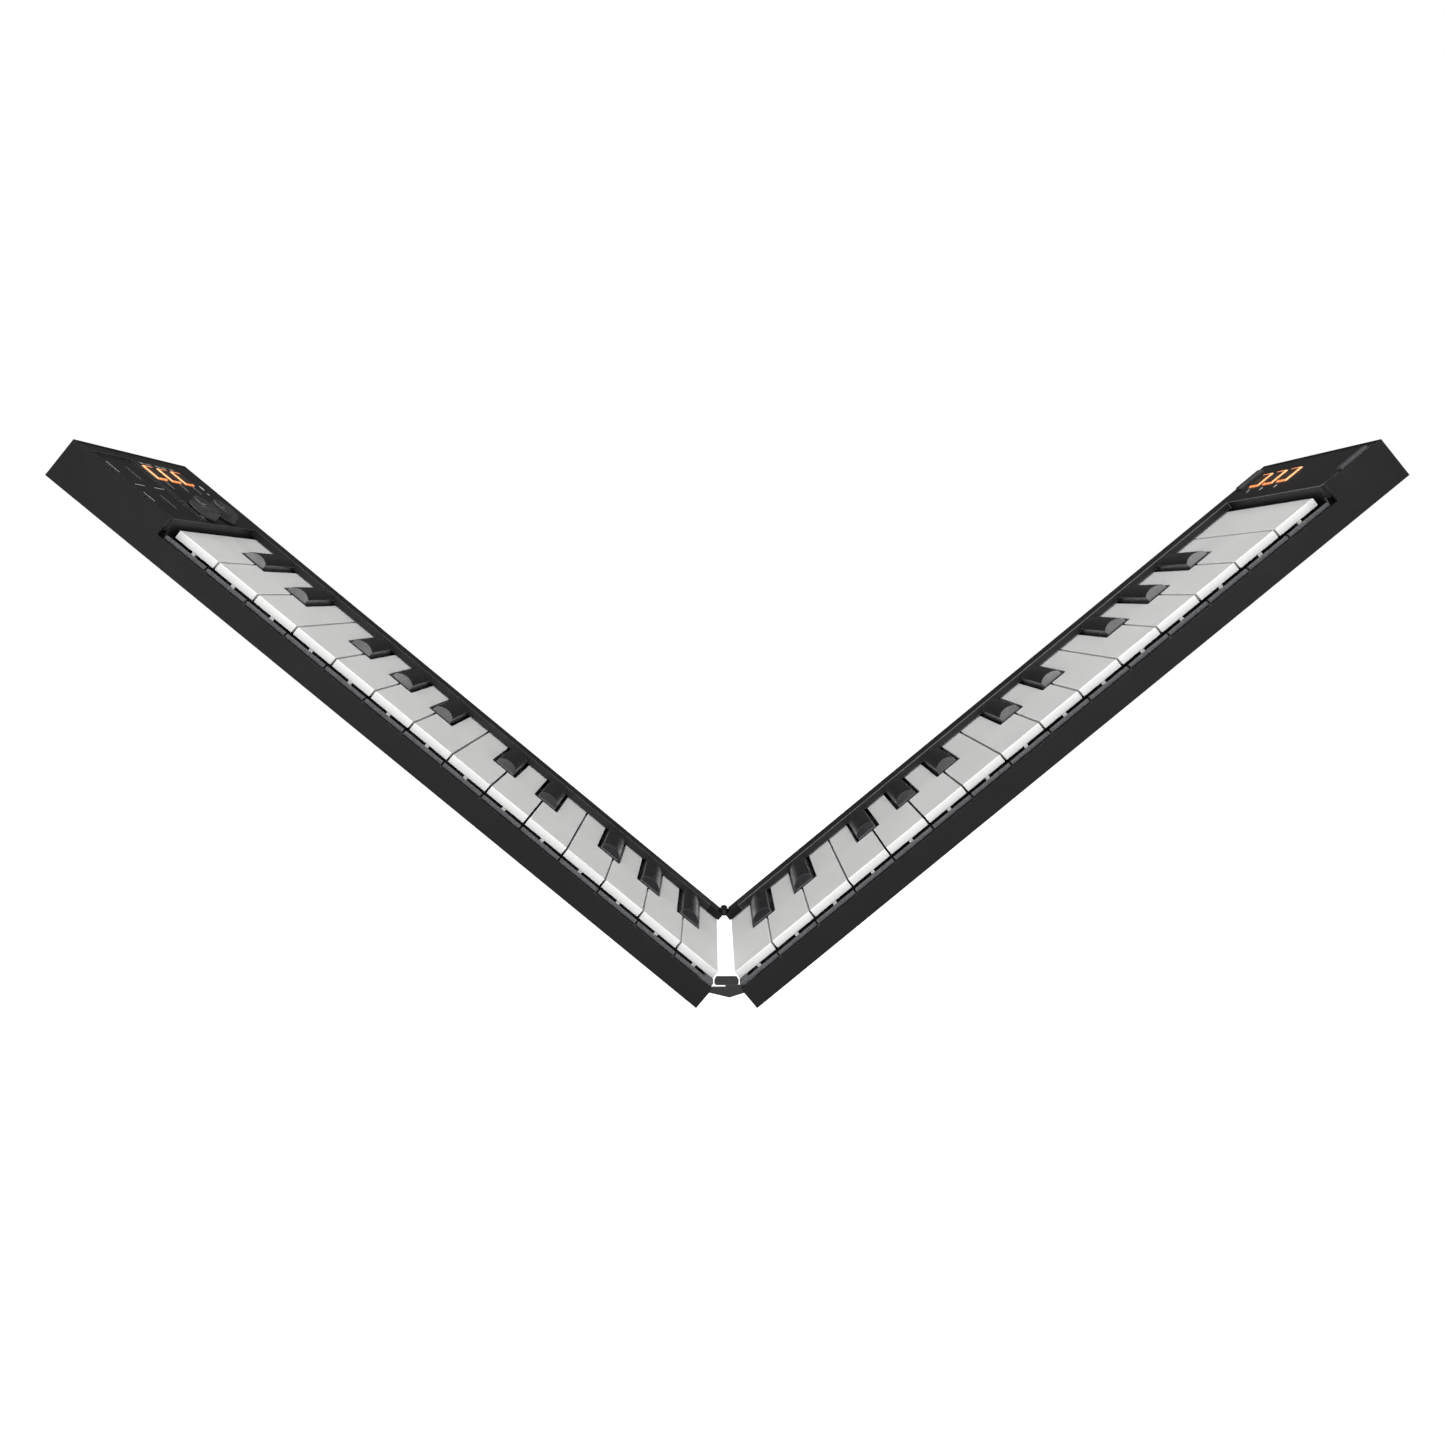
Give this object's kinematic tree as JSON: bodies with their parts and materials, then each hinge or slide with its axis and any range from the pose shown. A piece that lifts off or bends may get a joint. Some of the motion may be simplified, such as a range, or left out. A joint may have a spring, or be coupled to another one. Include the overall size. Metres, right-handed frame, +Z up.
{
  "type": "folding keyboard controller",
  "caption": "Portable electronic keyboard in two hinged halves, folded into a V, with sprung keys, control knobs and lit square buttons.",
  "frame": {"origin": "midway between the two lower edges that the raised keyboard stands on, at the middle of the case's depth", "axes": "+X along the keyboard towards the high notes, +Y from the player's edge to the rear, +Z up"},
  "size_m": [0.563, 0.105, 0.2392],
  "materials": {
    "case_plastic": "fine satin moulded ABS, black",
    "bed_plastic": "matt moulded ABS, charcoal",
    "white_key": "semi-gloss moulded ABS, white",
    "black_key": "satin moulded ABS, black",
    "knob_plastic": "soft-touch plastic, black",
    "button_rubber": "moulded silicone with an amber lit rim",
    "hinge_metal": "black painted die-cast metal"
  },
  "bodies": {
    "left_half": {"left_case": "case_plastic", "left_cover": "case_plastic", "left_key_bed": "bed_plastic"},
    "right_half": {"right_case": "case_plastic", "right_cover": "case_plastic", "right_key_bed": "bed_plastic"},
    "bridge": {"hinge_bridge": "hinge_metal"},
    "front_knob": {"front_knob": "knob_plastic"},
    "rear_knob": {"rear_knob": "knob_plastic"},
    "left_buttons": {"left_buttons": "button_rubber"},
    "right_buttons": {"right_buttons": "button_rubber"},
    "key_c2": {"key_c2": "white_key"},
    "key_d2": {"key_d2": "white_key"},
    "key_e2": {"key_e2": "white_key"},
    "key_f2": {"key_f2": "white_key"},
    "key_g2": {"key_g2": "white_key"},
    "key_a2": {"key_a2": "white_key"},
    "key_b2": {"key_b2": "white_key"},
    "key_c3": {"key_c3": "white_key"},
    "key_d3": {"key_d3": "white_key"},
    "key_e3": {"key_e3": "white_key"},
    "key_f3": {"key_f3": "white_key"},
    "key_g3": {"key_g3": "white_key"},
    "key_a3": {"key_a3": "white_key"},
    "key_b3": {"key_b3": "white_key"},
    "key_c4": {"key_c4": "white_key"},
    "key_d4": {"key_d4": "white_key"},
    "key_e4": {"key_e4": "white_key"},
    "key_f4": {"key_f4": "white_key"},
    "key_g4": {"key_g4": "white_key"},
    "key_a4": {"key_a4": "white_key"},
    "key_b4": {"key_b4": "white_key"},
    "key_c5": {"key_c5": "white_key"},
    "key_d5": {"key_d5": "white_key"},
    "key_e5": {"key_e5": "white_key"},
    "key_f5": {"key_f5": "white_key"},
    "key_g5": {"key_g5": "white_key"},
    "key_a5": {"key_a5": "white_key"},
    "key_b5": {"key_b5": "white_key"},
    "key_c6": {"key_c6": "white_key"},
    "key_csharp2": {"key_csharp2": "black_key"},
    "key_dsharp2": {"key_dsharp2": "black_key"},
    "key_fsharp2": {"key_fsharp2": "black_key"},
    "key_gsharp2": {"key_gsharp2": "black_key"},
    "key_asharp2": {"key_asharp2": "black_key"},
    "key_csharp3": {"key_csharp3": "black_key"},
    "key_dsharp3": {"key_dsharp3": "black_key"},
    "key_fsharp3": {"key_fsharp3": "black_key"},
    "key_gsharp3": {"key_gsharp3": "black_key"},
    "key_asharp3": {"key_asharp3": "black_key"},
    "key_csharp4": {"key_csharp4": "black_key"},
    "key_dsharp4": {"key_dsharp4": "black_key"},
    "key_fsharp4": {"key_fsharp4": "black_key"},
    "key_gsharp4": {"key_gsharp4": "black_key"},
    "key_asharp4": {"key_asharp4": "black_key"},
    "key_csharp5": {"key_csharp5": "black_key"},
    "key_dsharp5": {"key_dsharp5": "black_key"},
    "key_fsharp5": {"key_fsharp5": "black_key"},
    "key_gsharp5": {"key_gsharp5": "black_key"},
    "key_asharp5": {"key_asharp5": "black_key"}
  },
  "joints": [
    {"name": "fold", "type": "hinge", "parent": "left_half", "child": "right_half", "pos_m": [0, 0, 0.01521], "axis": [0, 1, 0], "range_deg": [-100.2, 79.8]},
    {"name": "bridge_turn", "type": "hinge", "parent": "left_half", "child": "bridge", "pos_m": [0, 0, 0.01521], "axis": [0, 1, 0], "range_deg": [-50.2, 40]},
    {"name": "front_knob_turn", "type": "hinge", "parent": "left_half", "child": "front_knob", "pos_m": [-0.23725, -0.0047, 0.21241], "axis": [0.6414, 0, 0.7672], "range_deg": [-135, 135]},
    {"name": "rear_knob_turn", "type": "hinge", "parent": "left_half", "child": "rear_knob", "pos_m": [-0.23725, 0.0163, 0.21241], "axis": [0.6414, 0, 0.7672], "range_deg": [-135, 135]},
    {"name": "left_button_press", "type": "slide", "parent": "left_half", "child": "left_buttons", "axis": [-0.6414, 0, -0.7672], "range_m": [0, 0.0006], "stiffness_N_per_m": 2000, "springref_m": -0.0005},
    {"name": "right_button_press", "type": "slide", "parent": "right_half", "child": "right_buttons", "axis": [0.6414, 0, -0.7672], "range_m": [0, 0.0006], "stiffness_N_per_m": 2000, "springref_m": -0.0005},
    {"name": "key_c2_press", "type": "hinge", "parent": "left_half", "child": "key_c2", "pos_m": [-0.22665, 0.046, 0.19169], "axis": [0.7672, 0, -0.6414], "range_deg": [0, 2.5], "stiffness_Nm_per_rad": 0.69, "springref_deg": -1.72},
    {"name": "key_d2_press", "type": "hinge", "parent": "left_half", "child": "key_d2", "pos_m": [-0.21035, 0.046, 0.17806], "axis": [0.7672, 0, -0.6414], "range_deg": [0, 2.5], "stiffness_Nm_per_rad": 0.69, "springref_deg": -1.72},
    {"name": "key_e2_press", "type": "hinge", "parent": "left_half", "child": "key_e2", "pos_m": [-0.19404, 0.046, 0.16443], "axis": [0.7672, 0, -0.6414], "range_deg": [0, 2.5], "stiffness_Nm_per_rad": 0.69, "springref_deg": -1.72},
    {"name": "key_f2_press", "type": "hinge", "parent": "left_half", "child": "key_f2", "pos_m": [-0.17774, 0.046, 0.1508], "axis": [0.7672, 0, -0.6414], "range_deg": [0, 2.5], "stiffness_Nm_per_rad": 0.69, "springref_deg": -1.72},
    {"name": "key_g2_press", "type": "hinge", "parent": "left_half", "child": "key_g2", "pos_m": [-0.16144, 0.046, 0.13716], "axis": [0.7672, 0, -0.6414], "range_deg": [0, 2.5], "stiffness_Nm_per_rad": 0.69, "springref_deg": -1.72},
    {"name": "key_a2_press", "type": "hinge", "parent": "left_half", "child": "key_a2", "pos_m": [-0.14514, 0.046, 0.12353], "axis": [0.7672, 0, -0.6414], "range_deg": [0, 2.5], "stiffness_Nm_per_rad": 0.69, "springref_deg": -1.72},
    {"name": "key_b2_press", "type": "hinge", "parent": "left_half", "child": "key_b2", "pos_m": [-0.12884, 0.046, 0.1099], "axis": [0.7672, 0, -0.6414], "range_deg": [0, 2.5], "stiffness_Nm_per_rad": 0.69, "springref_deg": -1.72},
    {"name": "key_c3_press", "type": "hinge", "parent": "left_half", "child": "key_c3", "pos_m": [-0.11253, 0.046, 0.09627], "axis": [0.7672, 0, -0.6414], "range_deg": [0, 2.5], "stiffness_Nm_per_rad": 0.69, "springref_deg": -1.72},
    {"name": "key_d3_press", "type": "hinge", "parent": "left_half", "child": "key_d3", "pos_m": [-0.09623, 0.046, 0.08264], "axis": [0.7672, 0, -0.6414], "range_deg": [0, 2.5], "stiffness_Nm_per_rad": 0.69, "springref_deg": -1.72},
    {"name": "key_e3_press", "type": "hinge", "parent": "left_half", "child": "key_e3", "pos_m": [-0.07993, 0.046, 0.06901], "axis": [0.7672, 0, -0.6414], "range_deg": [0, 2.5], "stiffness_Nm_per_rad": 0.69, "springref_deg": -1.72},
    {"name": "key_f3_press", "type": "hinge", "parent": "left_half", "child": "key_f3", "pos_m": [-0.06363, 0.046, 0.05538], "axis": [0.7672, 0, -0.6414], "range_deg": [0, 2.5], "stiffness_Nm_per_rad": 0.69, "springref_deg": -1.72},
    {"name": "key_g3_press", "type": "hinge", "parent": "left_half", "child": "key_g3", "pos_m": [-0.04732, 0.046, 0.04175], "axis": [0.7672, 0, -0.6414], "range_deg": [0, 2.5], "stiffness_Nm_per_rad": 0.69, "springref_deg": -1.72},
    {"name": "key_a3_press", "type": "hinge", "parent": "left_half", "child": "key_a3", "pos_m": [-0.03102, 0.046, 0.02812], "axis": [0.7672, 0, -0.6414], "range_deg": [0, 2.5], "stiffness_Nm_per_rad": 0.69, "springref_deg": -1.72},
    {"name": "key_b3_press", "type": "hinge", "parent": "left_half", "child": "key_b3", "pos_m": [-0.01472, 0.046, 0.01449], "axis": [0.7672, 0, -0.6414], "range_deg": [0, 2.5], "stiffness_Nm_per_rad": 0.69, "springref_deg": -1.72},
    {"name": "key_c4_press", "type": "hinge", "parent": "right_half", "child": "key_c4", "pos_m": [0.01472, 0.046, 0.01449], "axis": [0.7672, 0, 0.6414], "range_deg": [0, 2.5], "stiffness_Nm_per_rad": 0.69, "springref_deg": -1.72},
    {"name": "key_d4_press", "type": "hinge", "parent": "right_half", "child": "key_d4", "pos_m": [0.03102, 0.046, 0.02812], "axis": [0.7672, 0, 0.6414], "range_deg": [0, 2.5], "stiffness_Nm_per_rad": 0.69, "springref_deg": -1.72},
    {"name": "key_e4_press", "type": "hinge", "parent": "right_half", "child": "key_e4", "pos_m": [0.04732, 0.046, 0.04175], "axis": [0.7672, 0, 0.6414], "range_deg": [0, 2.5], "stiffness_Nm_per_rad": 0.69, "springref_deg": -1.72},
    {"name": "key_f4_press", "type": "hinge", "parent": "right_half", "child": "key_f4", "pos_m": [0.06363, 0.046, 0.05538], "axis": [0.7672, 0, 0.6414], "range_deg": [0, 2.5], "stiffness_Nm_per_rad": 0.69, "springref_deg": -1.72},
    {"name": "key_g4_press", "type": "hinge", "parent": "right_half", "child": "key_g4", "pos_m": [0.07993, 0.046, 0.06901], "axis": [0.7672, 0, 0.6414], "range_deg": [0, 2.5], "stiffness_Nm_per_rad": 0.69, "springref_deg": -1.72},
    {"name": "key_a4_press", "type": "hinge", "parent": "right_half", "child": "key_a4", "pos_m": [0.09623, 0.046, 0.08264], "axis": [0.7672, 0, 0.6414], "range_deg": [0, 2.5], "stiffness_Nm_per_rad": 0.69, "springref_deg": -1.72},
    {"name": "key_b4_press", "type": "hinge", "parent": "right_half", "child": "key_b4", "pos_m": [0.11253, 0.046, 0.09627], "axis": [0.7672, 0, 0.6414], "range_deg": [0, 2.5], "stiffness_Nm_per_rad": 0.69, "springref_deg": -1.72},
    {"name": "key_c5_press", "type": "hinge", "parent": "right_half", "child": "key_c5", "pos_m": [0.12884, 0.046, 0.1099], "axis": [0.7672, 0, 0.6414], "range_deg": [0, 2.5], "stiffness_Nm_per_rad": 0.69, "springref_deg": -1.72},
    {"name": "key_d5_press", "type": "hinge", "parent": "right_half", "child": "key_d5", "pos_m": [0.14514, 0.046, 0.12353], "axis": [0.7672, 0, 0.6414], "range_deg": [0, 2.5], "stiffness_Nm_per_rad": 0.69, "springref_deg": -1.72},
    {"name": "key_e5_press", "type": "hinge", "parent": "right_half", "child": "key_e5", "pos_m": [0.16144, 0.046, 0.13716], "axis": [0.7672, 0, 0.6414], "range_deg": [0, 2.5], "stiffness_Nm_per_rad": 0.69, "springref_deg": -1.72},
    {"name": "key_f5_press", "type": "hinge", "parent": "right_half", "child": "key_f5", "pos_m": [0.17774, 0.046, 0.1508], "axis": [0.7672, 0, 0.6414], "range_deg": [0, 2.5], "stiffness_Nm_per_rad": 0.69, "springref_deg": -1.72},
    {"name": "key_g5_press", "type": "hinge", "parent": "right_half", "child": "key_g5", "pos_m": [0.19404, 0.046, 0.16443], "axis": [0.7672, 0, 0.6414], "range_deg": [0, 2.5], "stiffness_Nm_per_rad": 0.69, "springref_deg": -1.72},
    {"name": "key_a5_press", "type": "hinge", "parent": "right_half", "child": "key_a5", "pos_m": [0.21035, 0.046, 0.17806], "axis": [0.7672, 0, 0.6414], "range_deg": [0, 2.5], "stiffness_Nm_per_rad": 0.69, "springref_deg": -1.72},
    {"name": "key_b5_press", "type": "hinge", "parent": "right_half", "child": "key_b5", "pos_m": [0.22665, 0.046, 0.19169], "axis": [0.7672, 0, 0.6414], "range_deg": [0, 2.5], "stiffness_Nm_per_rad": 0.69, "springref_deg": -1.72},
    {"name": "key_c6_press", "type": "hinge", "parent": "right_half", "child": "key_c6", "pos_m": [0.24295, 0.046, 0.20532], "axis": [0.7672, 0, 0.6414], "range_deg": [0, 2.5], "stiffness_Nm_per_rad": 0.69, "springref_deg": -1.72},
    {"name": "key_csharp2_press", "type": "hinge", "parent": "left_half", "child": "key_csharp2", "pos_m": [-0.21996, 0.046, 0.18609], "axis": [0.7672, 0, -0.6414], "range_deg": [0, 3.5], "stiffness_Nm_per_rad": 0.69, "springref_deg": -1.72},
    {"name": "key_dsharp2_press", "type": "hinge", "parent": "left_half", "child": "key_dsharp2", "pos_m": [-0.20074, 0.046, 0.17002], "axis": [0.7672, 0, -0.6414], "range_deg": [0, 3.5], "stiffness_Nm_per_rad": 0.69, "springref_deg": -1.72},
    {"name": "key_fsharp2_press", "type": "hinge", "parent": "left_half", "child": "key_fsharp2", "pos_m": [-0.17174, 0.046, 0.14578], "axis": [0.7672, 0, -0.6414], "range_deg": [0, 3.5], "stiffness_Nm_per_rad": 0.69, "springref_deg": -1.72},
    {"name": "key_gsharp2_press", "type": "hinge", "parent": "left_half", "child": "key_gsharp2", "pos_m": [-0.15329, 0.046, 0.13035], "axis": [0.7672, 0, -0.6414], "range_deg": [0, 3.5], "stiffness_Nm_per_rad": 0.69, "springref_deg": -1.72},
    {"name": "key_asharp2_press", "type": "hinge", "parent": "left_half", "child": "key_asharp2", "pos_m": [-0.13484, 0.046, 0.11492], "axis": [0.7672, 0, -0.6414], "range_deg": [0, 3.5], "stiffness_Nm_per_rad": 0.69, "springref_deg": -1.72},
    {"name": "key_csharp3_press", "type": "hinge", "parent": "left_half", "child": "key_csharp3", "pos_m": [-0.10584, 0.046, 0.09068], "axis": [0.7672, 0, -0.6414], "range_deg": [0, 3.5], "stiffness_Nm_per_rad": 0.69, "springref_deg": -1.72},
    {"name": "key_dsharp3_press", "type": "hinge", "parent": "left_half", "child": "key_dsharp3", "pos_m": [-0.08662, 0.046, 0.07461], "axis": [0.7672, 0, -0.6414], "range_deg": [0, 3.5], "stiffness_Nm_per_rad": 0.69, "springref_deg": -1.72},
    {"name": "key_fsharp3_press", "type": "hinge", "parent": "left_half", "child": "key_fsharp3", "pos_m": [-0.05762, 0.046, 0.05036], "axis": [0.7672, 0, -0.6414], "range_deg": [0, 3.5], "stiffness_Nm_per_rad": 0.69, "springref_deg": -1.72},
    {"name": "key_gsharp3_press", "type": "hinge", "parent": "left_half", "child": "key_gsharp3", "pos_m": [-0.03917, 0.046, 0.03493], "axis": [0.7672, 0, -0.6414], "range_deg": [0, 3.5], "stiffness_Nm_per_rad": 0.69, "springref_deg": -1.72},
    {"name": "key_asharp3_press", "type": "hinge", "parent": "left_half", "child": "key_asharp3", "pos_m": [-0.02072, 0.046, 0.01951], "axis": [0.7672, 0, -0.6414], "range_deg": [0, 3.5], "stiffness_Nm_per_rad": 0.69, "springref_deg": -1.72},
    {"name": "key_csharp4_press", "type": "hinge", "parent": "right_half", "child": "key_csharp4", "pos_m": [0.02141, 0.046, 0.02008], "axis": [0.7672, 0, 0.6414], "range_deg": [0, 3.5], "stiffness_Nm_per_rad": 0.69, "springref_deg": -1.72},
    {"name": "key_dsharp4_press", "type": "hinge", "parent": "right_half", "child": "key_dsharp4", "pos_m": [0.04063, 0.046, 0.03615], "axis": [0.7672, 0, 0.6414], "range_deg": [0, 3.5], "stiffness_Nm_per_rad": 0.69, "springref_deg": -1.72},
    {"name": "key_fsharp4_press", "type": "hinge", "parent": "right_half", "child": "key_fsharp4", "pos_m": [0.06963, 0.046, 0.0604], "axis": [0.7672, 0, 0.6414], "range_deg": [0, 3.5], "stiffness_Nm_per_rad": 0.69, "springref_deg": -1.72},
    {"name": "key_gsharp4_press", "type": "hinge", "parent": "right_half", "child": "key_gsharp4", "pos_m": [0.08808, 0.046, 0.07583], "axis": [0.7672, 0, 0.6414], "range_deg": [0, 3.5], "stiffness_Nm_per_rad": 0.69, "springref_deg": -1.72},
    {"name": "key_asharp4_press", "type": "hinge", "parent": "right_half", "child": "key_asharp4", "pos_m": [0.10653, 0.046, 0.09125], "axis": [0.7672, 0, 0.6414], "range_deg": [0, 3.5], "stiffness_Nm_per_rad": 0.69, "springref_deg": -1.72},
    {"name": "key_csharp5_press", "type": "hinge", "parent": "right_half", "child": "key_csharp5", "pos_m": [0.13553, 0.046, 0.1155], "axis": [0.7672, 0, 0.6414], "range_deg": [0, 3.5], "stiffness_Nm_per_rad": 0.69, "springref_deg": -1.72},
    {"name": "key_dsharp5_press", "type": "hinge", "parent": "right_half", "child": "key_dsharp5", "pos_m": [0.15475, 0.046, 0.13157], "axis": [0.7672, 0, 0.6414], "range_deg": [0, 3.5], "stiffness_Nm_per_rad": 0.69, "springref_deg": -1.72},
    {"name": "key_fsharp5_press", "type": "hinge", "parent": "right_half", "child": "key_fsharp5", "pos_m": [0.18374, 0.046, 0.15581], "axis": [0.7672, 0, 0.6414], "range_deg": [0, 3.5], "stiffness_Nm_per_rad": 0.69, "springref_deg": -1.72},
    {"name": "key_gsharp5_press", "type": "hinge", "parent": "right_half", "child": "key_gsharp5", "pos_m": [0.2022, 0.046, 0.17124], "axis": [0.7672, 0, 0.6414], "range_deg": [0, 3.5], "stiffness_Nm_per_rad": 0.69, "springref_deg": -1.72},
    {"name": "key_asharp5_press", "type": "hinge", "parent": "right_half", "child": "key_asharp5", "pos_m": [0.22065, 0.046, 0.18667], "axis": [0.7672, 0, 0.6414], "range_deg": [0, 3.5], "stiffness_Nm_per_rad": 0.69, "springref_deg": -1.72}
  ],
  "couplings": [
    {"joint": "bridge_turn", "follows": "fold", "ratio": 0.5}
  ]
}
